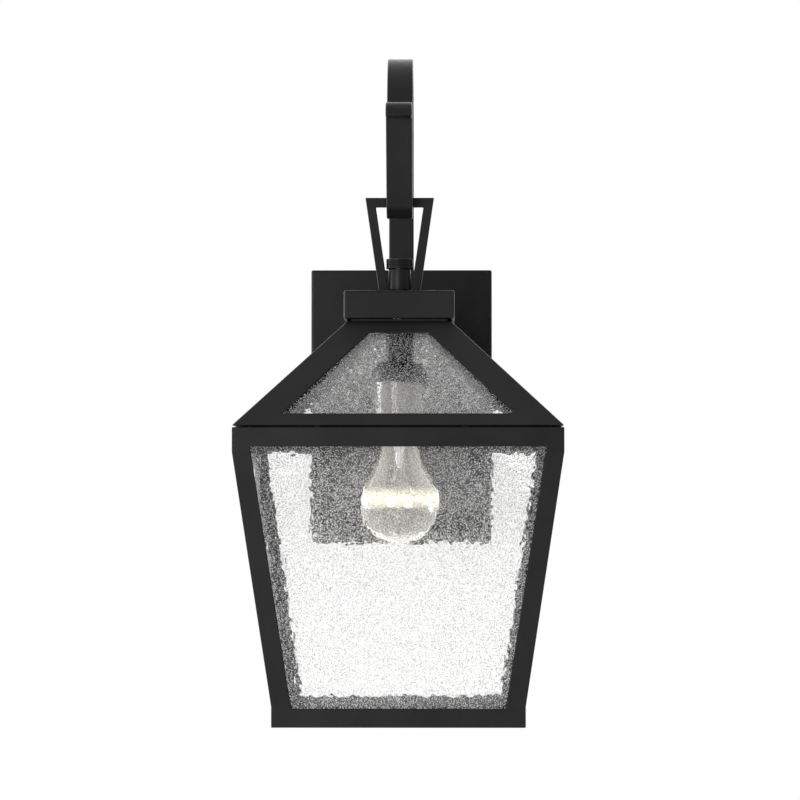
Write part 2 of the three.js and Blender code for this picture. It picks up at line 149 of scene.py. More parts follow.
class Loom:
    """A node tree being wired up."""

    def __init__(self, tree: bpy.types.NodeTree) -> None:
        """Empties a material's or the world's node tree."""
        self.tree = tree
        tree.nodes.clear()

    def node(self, kind: str, settings: dict | None = None, sockets: dict | None = None,
             output: int | str = 0) -> Wire:
        """Adds any node.

        Args:
            kind: the node's type.
            settings: its settings, which are set first.
            sockets: values or links by socket name or number.
            output: the output that is wanted.

        Returns:
            That output.
        """
        made = self.tree.nodes.new(kind)
        for name, value in (settings or {}).items():
            setattr(made, name, value)
        for name, value in (sockets or {}).items():
            if isinstance(value, Wire):
                self.tree.links.new(value.socket, made.inputs[name])
            else:
                made.inputs[name].default_value = value
        return Wire(self, made.outputs[output])

    def finish(self, kind: str, surface: Wire) -> None:
        """Adds the tree's output node, of one kind, and links its Surface."""
        out = self.tree.nodes.new(kind)
        self.tree.links.new(surface.socket, out.inputs["Surface"])

    def place(self, scale: Triple = (1.0, 1.0, 1.0)) -> Wire:
        """Object coordinates, stretched.

        Args:
            scale: how much each axis is multiplied.

        Returns:
            The vector.
        """
        here = self.node("ShaderNodeTexCoord", output="Object")
        if scale == (1.0, 1.0, 1.0):
            return here
        return self.node("ShaderNodeMapping", {"vector_type": "POINT"}, {"Vector": here, "Scale": scale})

    def noise(self, vector: Wire, scale: float, detail: float = 2.0, rough: float = 0.5) -> Wire:
        """Smooth random values round 0.5: scale features to the metre, detail octaves, rough their weight."""
        sockets = {"Vector": vector, "Scale": scale, "Detail": detail, "Roughness": rough}
        return self.node("ShaderNodeTexNoise", {"noise_dimensions": "3D"}, sockets)

    def cells(self, vector: Wire, scale: float, output: str = "Distance") -> Wire:
        """Random cells, scale of them to the metre: the distance from a cell's centre, or the cell's colour."""
        return self.node("ShaderNodeTexVoronoi", {"feature": "F1"}, {"Vector": vector, "Scale": scale}, output)

    def tint(self, mask: Wire, low: Wire | Colour, high: Wire | Colour) -> Wire:
        """A colour between two others.

        Args:
            mask: 0 for low, 1 for high.
            low: the first colour.
            high: the second colour.

        Returns:
            The mixed colour.
        """
        low, high = (end if isinstance(end, Wire) else (*end, 1.0) for end in (low, high))
        settings = {"data_type": "RGBA", "blend_type": "MIX"}
        return self.node("ShaderNodeMix", settings, {0: mask, 6: low, 7: high}, 2)

    def bump(self, height: Wire, depth: float, strength: float = 1.0) -> Wire:
        """A normal from a height of 0 to 1, where 1 stands for depth metres; strength is the share used."""
        return self.node("ShaderNodeBump", None, {"Strength": strength, "Distance": depth, "Height": height})


class Finish:
    """What every finish shares: a Principled surface whose constants sit on its own sockets."""

    name = "finish"
    fixed: ClassVar[dict[str, float | tuple]] = {}

    def patterns(self, loom: Loom) -> dict[str, Wire]:
        """What changes over the surface."""
        return {}

    def surface(self, loom: Loom) -> Wire:
        """The shader that takes both."""
        return loom.node("ShaderNodeBsdfPrincipled", None, {**self.fixed, **self.patterns(loom)})

    def material(self) -> bpy.types.Material:
        """Makes the material, or gives the one made before.

        Returns:
            The material.
        """
        known = bpy.data.materials.get(self.name)
        if known is not None:
            return known
        made = bpy.data.materials.new(self.name)
        made.use_nodes = True
        loom = Loom(made.node_tree)
        loom.finish("ShaderNodeOutputMaterial", self.surface(loom))
        return made


@dataclass(frozen=True)
class PowderCoat(Finish):
    """Satin black powder coat on steel: an almost even black with a faint orange-peel."""

    name: str = "black_powder_coat"
    deep: Colour = (0.0075, 0.0075, 0.0079)
    worn: Colour = (0.0110, 0.0110, 0.0114)
    clouds: float = 26.0
    rubs: float = 140.0
    peels: float = 900.0
    peel_depth: float = 0.00006
    gloss: float = 0.31
    fixed = {"Metallic": 0.0, "Specular IOR Level": 0.20}

    def patterns(self, loom: Loom) -> dict[str, Wire]:
        """Cloudy colour, slightly uneven gloss, and peel about a millimetre across."""
        here = loom.place()
        cloud = loom.noise(here, self.clouds, 3.0)
        peel = loom.noise(here, self.peels, 2.0)
        rub = loom.noise(here, self.rubs, 4.0, 0.65)
        return {
            "Base Color": loom.tint(cloud.step(0.3, 0.7), self.deep, self.worn),
            "Roughness": rub * 0.16 + self.gloss,
            "Normal": loom.bump(peel, self.peel_depth, 0.7),
        }


@dataclass(frozen=True)
class SeededGlass(Finish):
    """Clear glass with a fine grain of tiny frosted pits and a few long seeds that run upwards.

    Scales are features to the metre, edges are shares of a cell, and depths are metres.
    """

    name: str = "clear_seeded_glass"
    middle: Triple = (0.0, AXIS_Y * MM, -0.1)
    ripple: float = 150.0
    ripple_depth: float = 0.00016
    pits: float = 900.0
    pit_edge: Pair = (0.325, 0.365)
    pit_depth: float = 0.00006
    milk: float = 0.98
    seeds: float = 210.0
    seed_edge: Pair = (0.10, 0.32)
    seed_stretch: float = 0.28
    seedless: float = 0.90
    fixed = {"Base Color": (0.995, 0.995, 0.99, 1.0), "Roughness": 0.0, "IOR": 1.47, "Transmission Weight": 1.0}

    def outer(self, loom: Loom) -> Wire:
        """1 on a pane's outer face, which looks away from the lantern's middle."""
        reach = loom.node("ShaderNodeVectorMath", {"operation": "SUBTRACT"}, {0: loom.place(), 1: self.middle})
        way = loom.node("ShaderNodeTexCoord", output="Normal")
        facing = loom.node("ShaderNodeVectorMath", {"operation": "DOT_PRODUCT"}, {0: reach, 1: way}, "Value")
        return (facing * (1.0 - loom.node("ShaderNodeNewGeometry", output="Backfacing") * 2.0)).over(0.0)

    def relief(self, loom: Loom) -> tuple[Wire, Wire]:
        """A soft ripple, pits about a millimetre apart, and sparse stretched bubbles.

        Args:
            loom: the material's nodes.

        Returns:
            The height, as a part of the pits' depth, and the mask of the pits.
        """
        here = loom.place()
        ripple = loom.noise(here, self.ripple, 1.0, 0.55)
        pit = (1.0 - loom.cells(here, self.pits).step(*self.pit_edge)) * self.outer(loom)
        long = loom.place((1.0, 1.0, self.seed_stretch))
        red = loom.node("ShaderNodeSeparateColor", None, {0: loom.cells(long, self.seeds, "Color")}, 0)
        seed = (1.0 - loom.cells(long, self.seeds).step(*self.seed_edge)) * red.over(self.seedless)
        return ripple * (self.ripple_depth / self.pit_depth) + pit + seed, pit

    def surface(self, loom: Loom) -> Wire:
        """Clear glass, and the pits' frosted floors that scatter light through."""
        height, pit = self.relief(loom)
        lie = loom.bump(height, self.pit_depth)
        clear = loom.node("ShaderNodeBsdfPrincipled", None, {**self.fixed, "Normal": lie})
        frosted = loom.node("ShaderNodeBsdfTranslucent", None, {"Color": (1.0, 1.0, 1.0, 1.0), "Normal": lie})
        return loom.node("ShaderNodeMixShader", None, {0: pit * self.milk, 1: clear, 2: frosted})


@dataclass(frozen=True)
class BulbGlass(Finish):
    """The bulb's thin clear envelope, with a painted glow in its emission that stands in for the filament's
    light scattered in the glass.
    """

    name: str = "clear_bulb_glass"
    # painted glow colours: the full glow at the band and the limb, and a faint painted glow elsewhere
    glow: Colour = (1.0, 0.90, 0.68)
    painted_faint_glow: Colour = (0.16, 0.15, 0.125)
    filament_z: float = -0.0745
    painted_glow_band: Pair = (0.001, 0.010)
    painted_limb_sheen: Pair = (0.45, 1.0)
    painted_limb_share: float = 0.7
    # the emission strength sets how bright the painted glow is
    fixed = {"Base Color": (1.0, 1.0, 1.0, 1.0), "Roughness": 0.0, "IOR": 1.45,
             "Transmission Weight": 1.0, "Emission Strength": 0.30}

    def patterns(self, loom: Loom) -> dict[str, Wire]:
        """Painted glow: a band at the filament's height, and a painted sheen of it that gathers where the glass
        turns away.
        """
        height = loom.node("ShaderNodeSeparateXYZ", None, {0: loom.place()}, "Z")
        painted_glow_band = 1.0 - height.apart(self.filament_z).step(*self.painted_glow_band)
        painted_limb_sheen = loom.node("ShaderNodeLayerWeight", None, {"Blend": 0.35}, "Facing").step(*self.painted_limb_sheen)
        return {"Emission Color": loom.tint(painted_glow_band.larger(painted_limb_sheen * self.painted_limb_share), self.painted_faint_glow, self.glow)}


@dataclass(frozen=True)
class ZincPlate(Finish):
    """Bright zinc-plated steel with a faint spangle."""

    name: str = "bright_zinc_plate"
    dull: Colour = (0.46, 0.47, 0.49)
    bright: Colour = (0.62, 0.63, 0.64)
    spangles: float = 160.0
    streaks: float = 900.0
    depth: float = 0.00002
    fixed = {"Metallic": 1.0}

    def patterns(self, loom: Loom) -> dict[str, Wire]:
        """Spangle in the colour, streaks in the gloss."""
        spangle = loom.noise(loom.place(), self.spangles, 3.0)
        streak = loom.noise(loom.place((1.0, 1.0, 0.1)), self.streaks, 2.0)
        return {
            "Base Color": loom.tint(spangle.step(0.35, 0.65), self.dull, self.bright),
            "Roughness": streak * 0.25 + 0.22,
            "Normal": loom.bump(streak, self.depth),
        }


@dataclass(frozen=True)
class Brass(Finish):
    """Spun brass, a little tarnished."""

    name: str = "spun_brass"
    clean: Colour = (0.66, 0.47, 0.20)
    tarnished: Colour = (0.42, 0.28, 0.12)
    clouds: float = 220.0
    lines: float = 2500.0
    depth: float = 0.00002
    fixed = {"Metallic": 1.0}

    def patterns(self, loom: Loom) -> dict[str, Wire]:
        """Tarnish in clouds, fine turning lines in the gloss."""
        tarnish = loom.noise(loom.place(), self.clouds, 4.0, 0.6)
        lines = loom.noise(loom.place((0.05, 0.05, 1.0)), self.lines, 1.0)
        return {
            "Base Color": loom.tint(tarnish.step(0.35, 0.7), self.clean, self.tarnished),
            "Roughness": tarnish * 0.3 + 0.18,
            "Normal": loom.bump(lines, self.depth),
        }


@dataclass(frozen=True)
class Porcelain(Finish):
    """A grey porcelain body under a glossy glaze."""

    name: str = "glazed_porcelain"
    dark: Colour = (0.30, 0.29, 0.265)
    light: Colour = (0.36, 0.35, 0.325)
    clouds: float = 90.0
    waves: float = 260.0
    depth: float = 0.00015
    fixed = {"Coat Roughness": 0.08, "Coat Weight": 0.6}

    def patterns(self, loom: Loom) -> dict[str, Wire]:
        """Faint warm clouds and a slightly wavy glaze."""
        cloud = loom.noise(loom.place(), self.clouds, 3.0)
        wave = loom.noise(loom.place(), self.waves, 1.0)
        return {
            "Base Color": loom.tint(cloud, self.dark, self.light),
            "Roughness": cloud * 0.12 + 0.2,
            "Normal": loom.bump(wave, self.depth),
        }


@dataclass(frozen=True)
class Foam(Finish):
    """Black closed-cell foam."""

    name: str = "black_foam"
    # painted shade in the cells' hollows; the walls keep the foam's own black
    painted_shade_hollow: Colour = (0.010, 0.010, 0.010)
    wall: Colour = (0.035, 0.035, 0.035)

    def patterns(self, loom: Loom) -> dict[str, Wire]:
        """Open cut cells under a millimetre across, with painted shade darkening their hollows."""
        cells = loom.cells(loom.place(), 1400.0)
        return {
            "Base Color": loom.tint(cells, self.painted_shade_hollow, self.wall),
            "Roughness": cells * 0.2 + 0.75,
            "Normal": loom.bump(cells, 0.0003),
        }


@dataclass(frozen=True)
class GreenPaint(Finish):
    """The green lacquer on the ground screw."""

    name: str = "green_lacquer"
    full: Colour = (0.020, 0.17, 0.055)
    rubbed: Colour = (0.09, 0.30, 0.13)

    def patterns(self, loom: Loom) -> dict[str, Wire]:
        """A thin coat, paler where it is rubbed."""
        rub = loom.noise(loom.place(), 700.0, 3.0)
        return {
            "Base Color": loom.tint(rub.step(0.4, 0.75), self.full, self.rubbed),
            "Roughness": rub * 0.3 + 0.25,
            "Normal": loom.bump(rub, 0.00003),
        }


@dataclass(frozen=True)
class HotWire(Finish):
    """The glowing tungsten coil."""

    name: str = "hot_tungsten"
    cooler: Colour = (1.0, 0.78, 0.48)
    hotter: Colour = (1.0, 0.88, 0.66)
    fixed = {"Base Color": (0.05, 0.05, 0.05, 1.0), "Roughness": 0.6, "Emission Strength": 55.0}

    def patterns(self, loom: Loom) -> dict[str, Wire]:
        """Hotter in places, as a coil's turns are."""
        return {"Emission Color": loom.tint(loom.noise(loom.place(), 900.0, 1.0), self.cooler, self.hotter)}


@dataclass(frozen=True)
class PaleFloor(Finish):
    """The studio's pale floor."""

    name: str = "pale_floor"
    dark: Colour = (0.80, 0.80, 0.80)
    light: Colour = (0.84, 0.84, 0.84)

    def patterns(self, loom: Loom) -> dict[str, Wire]:
        """An almost even off-white."""
        cloud = loom.noise(loom.place(), 3.0, 2.0)
        return {"Base Color": loom.tint(cloud, self.dark, self.light), "Roughness": cloud * 0.1 + 0.6}


FINISHES = {
    Slot.BLACK: PowderCoat(), Slot.SEEDED: SeededGlass(), Slot.CLEAR: BulbGlass(), Slot.ZINC: ZincPlate(),
    Slot.BRASS: Brass(), Slot.PORCELAIN: Porcelain(), Slot.FOAM: Foam(), Slot.GREEN: GreenPaint(),
    Slot.GLOW: HotWire(),
}


# ---- surfaces


def quads(rows: int, cols: int) -> Array:
    """The faces of a grid of points, whose last column joins the first.

    Args:
        rows: rings of points.
        cols: points in each.

    Returns:
        Four corners to a face, turning the way that points outwards when rows run up and columns anticlockwise.
    """
    r = np.arange(rows - 1)[:, None]
    c = np.arange(cols)[None, :]
    after = (c + 1) % cols
    low, high = r * cols, (r + 1) * cols
    return np.stack([low + c, low + after, high + after, high + c], -1).reshape(-1, 4)


def closed(grid: Array) -> Part:
    """A closed surface from rings of points, turned so that it faces outwards.

    The signed volume is the sum over its triangles of corner . (corner x corner) / 6. Where it is negative, the
    faces are turned round.

    Args:
        grid: rows x columns x 3 points, whose rows close on a pole or on themselves.

    Returns:
        The points and the faces.
    """
    points = grid.reshape(-1, 3)
    faces = quads(grid.shape[0], grid.shape[1])
    a, b, c, d = (points[faces[:, k]] for k in range(4))
    volume = (np.einsum("ij,ij->i", a, np.cross(b, c)) + np.einsum("ij,ij->i", a, np.cross(c, d))).sum()
    return points, faces[:, ::-1] if volume < 0 else faces


def rounded(width: float, height: float, radius: float) -> Array:
    """A rectangle with round corners, as a loop of points.

    Each corner is a quarter circle about a point one radius in from both sides.

    Args:
        width: its size along the first axis.
        height: its size along the second axis.
        radius: the corner radius.

    Returns:
        4 * (CORNER_STEPS + 1) points, anticlockwise.
    """
    radius = min(radius, width / 2, height / 2)
    turn = np.linspace(0, math.pi / 2, CORNER_STEPS + 1)[None, :] + (np.arange(4) * math.pi / 2)[:, None]
    signs = np.array([[1, 1], [-1, 1], [-1, -1], [1, -1]], float)
    middle = signs * [width / 2 - radius, height / 2 - radius]
    ring = middle[:, None, :] + radius * np.stack([np.cos(turn), np.sin(turn)], -1)
    return ring.reshape(-1, 2)


def around(count: int) -> Array:
    """Equal turns round a circle, from 0."""
    return np.arange(count) * 2 * math.pi / count


def revolved(radius: Array, z: Array, turn: Array) -> Array:
    """Rows of points about Z: (radius cos t, radius sin t, z)."""
    return np.stack([radius * np.cos(turn), radius * np.sin(turn), z + 0 * turn], -1)


def unit(ways: Array) -> Array:
    """Directions of length one."""
    return ways / np.linalg.norm(ways, axis=1, keepdims=True)


def bow(a: Array, b: Array, c: Array, t: Array) -> Array:
    """A quadratic curve from a to c that is pulled towards b: (1 - t)^2 a + 2 t (1 - t) b + t^2 c."""
    return (1 - t) ** 2 * a + 2 * t * (1 - t) * b + t ** 2 * c


def lathe(profile: list[Pair] | Array, segments: int = 96) -> Part:
    """A profile of (radius, z) points, which close on the axis or on themselves, revolved about Z."""
    line = np.asarray(profile, float)
    return closed(revolved(line[:, :1], line[:, 1:], around(segments)))


def eased(profile: list[Pair], radius: float, steps: int = 3) -> Array:
    """A profile whose inner corners are rounded.

    Each corner is cut at up to one radius along both its sides, and a curve bowed towards it joins the cuts.

    Args:
        profile: the corners.
        radius: how far the rounding reaches along each side.
        steps: the spans in each rounding.

    Returns:
        The rounded profile.
    """
    corner = np.asarray(profile, float)
    before, here, after = corner[:-2], corner[1:-1], corner[2:]
    into, out = before - here, after - here
    long_in = np.linalg.norm(into, axis=1, keepdims=True)
    long_out = np.linalg.norm(out, axis=1, keepdims=True)
    a = here + into / long_in * np.minimum(radius, long_in * 0.45)
    b = here + out / long_out * np.minimum(radius, long_out * 0.45)
    t = np.linspace(0, 1, steps + 1)[None, :, None]
    curve = bow(a[:, None], here[:, None], b[:, None], t)
    return np.concatenate([corner[:1], curve.reshape(-1, 2), corner[-1:]])


def sweep(line: Array, across: Array, over: Array, sections: Array) -> Part:
    """A section carried along a path: path point + section x * across + section y * over.

    Args:
        line: n x 3 path points.
        across: n x 3 directions of the section's first axis.
        over: n x 3 directions of its second axis.
        sections: n x m x 2 section points, which close to a point at both ends.

    Returns:
        The closed surface.
    """
    grid = line[:, None] + sections[..., :1] * across[:, None] + sections[..., 1:] * over[:, None]
    return closed(grid)


def tube(line: Array, guide: Array, radius: float, sides: int = 8) -> Part:
    """A round wire along a path: the path plus radius * (cos t * n + sin t * b).

    n is the guide made square to the path, b is the path's direction x n, and both ends close to a point.

    Args:
        line: n x 3 path points.
        guide: n x 3 directions that the path never runs along.
        radius: the wire's radius.
        sides: columns around.

    Returns:
        The closed surface.
    """
    line = np.concatenate([line[:1], line, line[-1:]])
    guide = np.concatenate([guide[:1], guide, guide[-1:]])
    heading = unit(np.gradient(line[1:-1], axis=0))
    heading = np.concatenate([heading[:1], heading, heading[-1:]])
    n = unit(guide - heading * np.sum(guide * heading, axis=1, keepdims=True))
    turn = around(sides)
    ring = np.broadcast_to(np.stack([np.cos(turn), np.sin(turn)], -1) * radius, (len(line), sides, 2)).copy()
    ring[[0, -1]] = 0
    return sweep(line, n, np.cross(heading, n), ring)


def stack(rows: list[Row]) -> Part:
    """Rounded rectangles one above another, each (width, depth, corner radius, z), joined by straight sides."""
    rings = [np.insert(rounded(w, d, r), 2, z, axis=1) for w, d, r, z in rows]
    return closed(np.stack(rings))


def pan_rows(width: float, depth: float, base: float, top: float, wall: float, bend: float,
             corner: float) -> list[Row]:
    """The rows of a pan that is open at its base: outside up and over the top, then back down the inside.

    The fold at the top edge is a quarter circle: radius * (1 - cos t) in, and radius * (1 - sin t) down.

    Args:
        width: outside width.
        depth: outside depth.
        base: the open rim's height.
        top: the closed face's height.
        wall: the sheet's thickness.
        bend: the outside radius of the fold.
        corner: the corner radius seen from above.

    Returns:
        Rows for stack().
    """
    turns = np.linspace(0, math.pi / 2, 6)
    lip = wall * 0.3

    def fold(inset: float, radius: float) -> list[Row]:
        """The rows of one skin's fold, from the side up to the face."""
        inwards = 2 * (inset + radius * (1 - np.cos(turns)))
        down = inset + radius * (1 - np.sin(turns))
        return [(width - i, depth - i, corner, top - d) for i, d in zip(inwards, down)]

    rim = (width - 2 * lip, depth - 2 * lip, corner, base)
    skin = [(width, depth, corner, base + lip), *fold(0.0, bend), (0, 0, 0, top)]
    lining = [(0, 0, 0, top - wall), *fold(wall, max(bend - wall, 0.2))[::-1]]
    return [rim, *skin, *lining, (width - 2 * wall, depth - 2 * wall, corner, base), rim]


def out_of_wall(part: Part, shift: Triple = (0.0, 0.0, 0.0)) -> Part:
    """A part made along +Z, turned so that it stands out of the wall along -Y, then shifted."""
    return part[0][:, [0, 2, 1]] * [1, -1, 1] + shift, part[1]


def piece(name: str, parts: list[Part], stands_for: tuple[str, ...], body: Body = Body.LANTERN,
          slot: Slot = Slot.BLACK, sharp: float = 30.0, fair: bool = False) -> bpy.types.Object:
    """Makes one finished piece of one or more closed surfaces.

    Args:
        name: the piece's name.
        parts: its surfaces, in millimetres, about the lantern's own axis unless it rides on the wall mount.
        stands_for: the CAD nodes that it replaces.
        body: the body it rides on.
        slot: the finish it wears.
        sharp: edges that turn more than this many degrees are shaded sharp.
        fair: whether its large flats keep their own direction where they meet a rounded edge.

    Returns:
        The object.
    """
    counts = np.cumsum([0] + [len(p) for p, _ in parts])
    points = np.concatenate([p for p, _ in parts])
    faces = np.concatenate([f + start for (_, f), start in zip(parts, counts)])
    if body is not Body.WALL:
        points = points + [0.0, AXIS_Y, 0.0]
    mesh = bpy.data.meshes.new(name)
    mesh.from_pydata((points * MM).tolist(), [], faces.tolist())
    work = bmesh.new()
    work.from_mesh(mesh)
    bmesh.ops.remove_doubles(work, verts=work.verts, dist=2e-6)
    bmesh.ops.dissolve_degenerate(work, edges=work.edges, dist=1e-7)
    work.to_mesh(mesh)
    work.free()
    mesh.polygons.foreach_set("use_smooth", np.ones(len(mesh.polygons), bool))
    mesh.set_sharp_from_angle(angle=math.radians(sharp))
    mesh.materials.append(FINISHES[slot].material())
    made = bpy.data.objects.new(name, mesh)
    bpy.context.scene.collection.objects.link(made)
    if fair:
        flatten = made.modifiers.new("fair_normals", "WEIGHTED_NORMAL")
        flatten.weight = 100
        flatten.keep_sharp = True
    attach(made, body.value)
    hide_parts(*stands_for)
    LOG.info("%s: %d faces, rides on %s", name, len(mesh.polygons), body.value)
    return made


def soften(made: bpy.types.Object, radius: float, wall: float = 0.0) -> None:
    """Gives a folded sheet its thickness, and rounds the hard edges.

    Args:
        made: the piece.
        radius: the rounding, in millimetres.
        wall: the sheet's thickness inwards, or 0 for a closed solid.
    """
    if wall:
        thick = made.modifiers.new("sheet", "SOLIDIFY")
        thick.thickness = wall * MM
        thick.offset = -1.0
        thick.use_even_offset = True
        thick.use_quality_normals = True
    edge = made.modifiers.new("soft_edges", "BEVEL")
    edge.width = radius * MM
    edge.segments = 3
    edge.limit_method = "ANGLE"
    edge.angle_limit = math.radians(25)
    edge.harden_normals = True


def dress(nodes: list[str], slot: Slot) -> None:
    """Puts a finish on CAD nodes that keep their own shape.

    Args:
        nodes: the nodes' names.
        slot: the finish.
    """
    for name in nodes:
        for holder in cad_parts[name].material_slots:
            holder.material = FINISHES[slot].material()
        LOG.info("%s: CAD shape in %s", name, slot.value)


# ---- the wall side


@dataclass
class WallMount:
    """The wall plate, its gasket and the fixings behind it."""

    width: float = 145.0
    height: float = 219.0
    front: float = 30.0
    rim: float = 2.3
    wall: float = 1.5
    bend: float = 2.0
    corner: float = 1.6
    stud_x: float = 28.0
    nut: float = 6.2
    washer: float = 9.0
    dome: float = 5.0
    dome_foot: float = 6.6
    dome_rise: float = 4.8

    def plate(self) -> None:
        """A folded pan with softly bent edges."""
        rows = pan_rows(self.width, self.height, self.rim, self.front, self.wall, self.bend, self.corner)
        piece("wall_plate", [out_of_wall(stack(rows))], ("backplate",), Body.WALL, sharp=60, fair=True)

    def cap_nuts(self) -> None:
        """Domed hex nuts.

        The radius at turn t is the hexagon's, flat / cos(t to the nearest flat's middle), or the chamfer's or
        dome's where that is smaller.
        """
        turn = around(96)
        flat = self.nut * math.cos(math.pi / 6)
        hexagon = flat / np.cos((turn + math.pi / 6) % (math.pi / 3) - math.pi / 6)
        rows = [(0, 0, 0), (5.7, 0, 0), (self.washer, 0.4, 0), (self.washer, 4.7, 0), (5.6, 5.5, 0),
                (self.dome, 5.6, 1), (self.dome, self.dome_foot, 1)]
        t = np.linspace(0, math.pi / 2, 9)[1:]
        dome = np.stack([self.dome * np.cos(t), self.dome_foot + self.dome_rise * np.sin(t), t ** 0], -1)
        table = np.concatenate([rows, dome])
        radius = np.minimum(table[:, :1], np.where(table[:, 2:] > 0, self.washer, hexagon))
        grid = revolved(radius, table[:, 1:2], turn)
        for hand, x in (("left", -self.stud_x), ("right", self.stud_x)):
            nut = out_of_wall(closed(grid), (x, -self.front - GAP, 0))
            piece(f"acorn_nut_{hand}", [nut], (f"cap_nut_{hand}",), Body.WALL, sharp=28)

    def build(self) -> None:
        """Makes the plate and the nuts and dresses the rest."""
        self.plate()
        self.cap_nuts()
        dress(["wall_gasket"], Slot.FOAM)
        dress(["mounting_crossbar", "crossbar_stud_left", "crossbar_stud_right"], Slot.ZINC)
        dress(["ground_screw"], Slot.GREEN)
        dress(["arm_screw_lower", "arm_screw_upper"], Slot.BLACK)


@dataclass
class HookArm:
    """The flat bar bent into a shepherd's hook: foot, arch, drop, throat, leaning front leg and rolled tip."""

    width: float = 19.8
    thick: float = 8.0
    edge: float = 1.1
    foot_z: float = 18.0
    top: float = 269.4
    plate: float = 30.0
    throat: float = 13.0
    throat_z: float = 154.4
    lean: float = math.radians(30)
    leg: float = 72.0
    tip: float = 10.0
    tip_end: float = math.radians(170)

    @staticmethod
    def arc(middle: Pair, radius: float, start: float, end: float, count: int) -> Array:
        """A circle's arc in (Y, Z): middle + radius * (cos t, sin t), with t from start to end."""
        t = np.linspace(start, end, count)
        return np.array(middle) + radius * np.stack([np.cos(t), np.sin(t)], -1)

    def centreline(self) -> Array:
        """The middle of the bar, in (Y, Z).

        Returns:
            n x 2 points, from the foot to the tip.
        """
        rear = -self.plate - GAP - self.thick / 2
        drop = AXIS_Y + self.throat
        arch = (rear - drop) / 2
        arch_z = self.top - self.thick / 2 - arch
        foot = np.array([[rear, self.foot_z], [rear, self.foot_z + 1.2]])
        over = self.arc((rear - arch, arch_z), arch, 0, math.pi, 49)
        under = self.arc((AXIS_Y, self.throat_z), self.throat, 0, self.lean - math.pi, 25)
        run = np.array([-math.sin(self.lean), math.cos(self.lean)])
        knee = under[-1] + run * self.leg
        roll = knee - self.tip * np.array([math.cos(self.lean), math.sin(self.lean)])
        return np.concatenate([foot, over, under, self.arc(tuple(roll), self.tip, self.lean, self.tip_end, 17)])

    def build(self) -> None:
        """Sweeps a soft-edged bar along the centreline and closes both ends with the same softness."""
        line = self.centreline()
        heading = unit(np.gradient(line, axis=0))
        turns = np.linspace(0, math.pi / 2, 4)
        inset = np.concatenate([[self.thick], self.edge * (1 - np.sin(turns))])
        back = np.concatenate([[0], self.edge * (1 - np.cos(turns))])[:, None]
        path = np.concatenate([line[0] + heading[0] * back, line[1:-1], line[-1] - heading[-1] * back[::-1]])
        way = np.concatenate([np.repeat(heading[:1], len(back), 0), heading[1:-1],
                              np.repeat(heading[-1:], len(back), 0)])
        shrink = np.concatenate([inset, np.zeros(len(line) - 2), inset[::-1]])
        sections = np.stack([rounded(max(self.width - 2 * s, 0), max(self.thick - 2 * s, 0), self.edge)
                             for s in shrink])
        sections[[0, -1]] = 0
        zero = np.zeros(len(path))
        points = np.column_stack([zero, path])
        across = np.column_stack([zero + 1, zero, zero])
        over = np.column_stack([zero, -way[:, 1], way[:, 0]])
        piece("shepherds_hook", [sweep(points, across, over, sections)], ("hook_arm",), Body.WALL, sharp=60,
              fair=True)


# ---- the hanging side


@dataclass
class Hanger:
    """The trapezoid loop, the stem with its ring nut, and the square cap."""

    foot: float = 80.4
    top: float = 153.3
    foot_half: float = 15.45
    top_half: float = 26.1
    bar: float = 7.2
    leg: float = 7.05
    thick: float = 5.0
    pad: float = 2.2
    pad_depth: float = 16.0
    stem: float = 8.4
    stem_top: float = 98.9
    nut: float = 10.3
    nut_top: float = 106.7
    bore: float = 5.3
    cap_half: float = 41.35
    cap_bottom: float = 59.2
    cap_top: float = 80.1
    cap_wall: float = 2.0
    cap_bend: float = 1.5
    cap_corner: float = 1.4

    def outer(self, z: float) -> float:
        """The loop's half width outside, at a height."""
        return float(np.interp(z, [self.foot, self.top], [self.foot_half, self.top_half]))

    def loop(self) -> None:
        """Four flat bars joined at their corners, and the pad under the stem."""
        low, high = self.foot + self.pad, self.top - self.bar
        low_in, high_in = self.outer(low) - self.leg, self.outer(high) - self.leg
        outside = np.array([[-self.foot_half, self.foot], [self.foot_half, self.foot],
                            [self.top_half, self.top], [-self.top_half, self.top]])
        inside = np.array([[-low_in, low], [low_in, low], [high_in, high], [-high_in, high]])
        rings = np.stack([outside, inside, inside, outside, outside])
        depth = np.array([-0.5, -0.5, 0.5, 0.5, -0.5])[:, None] * self.thick
        grid = np.stack([rings[..., 0], np.repeat(depth, 4, 1), rings[..., 1]], -1)
        size = (self.foot_half * 2, self.pad_depth, 0.6)
        foot = stack([(0, 0, 0, self.foot), (*size, self.foot), (*size, low), (0, 0, 0, low)])
        soften(piece("trapezoid_loop", [closed(grid), foot], ("hanging_loop",)), 0.55)

    def stem_and_nut(self) -> None:
        """The stem tube and the ring nut, whose side has four fine grooves."""
        low = self.foot + self.pad + GAP
        tube_line = [(self.bore, low), (self.stem, low), (self.stem, self.stem_top), (self.bore, self.stem_top),
                     (self.bore, low)]
        piece("stem", [lathe(eased(tube_line, 0.5))], ("stem_tube",))
        z0 = self.stem_top + GAP
        grooves = []
        for z in np.linspace(z0 + 1.6, self.nut_top - 2.0, 4):
            grooves += [(self.nut, z - 0.35), (self.nut - 0.45, z), (self.nut, z + 0.35)]
        side = [(self.bore, z0), (self.nut, z0), *grooves, (self.nut, self.nut_top), (self.bore, self.nut_top),
                (self.bore, z0)]
        piece("ring_nut", [lathe(eased(side, 0.6))], ("stem_ring_nut",))

    def cap(self) -> None:
        """A square pan, open underneath."""
        size = self.cap_half * 2
        rows = pan_rows(size, size, self.cap_bottom, self.cap_top, self.cap_wall, self.cap_bend,
                        self.cap_corner)
        piece("square_cap", [stack(rows)], ("cap_block",), sharp=60, fair=True)

    def build(self) -> None:
        """Makes the loop, stem, nut and cap."""
        self.loop()
        self.stem_and_nut()
        self.cap()
        dress(["stem_nipple"], Slot.ZINC)
        dress(["cap_gasket"], Slot.FOAM)


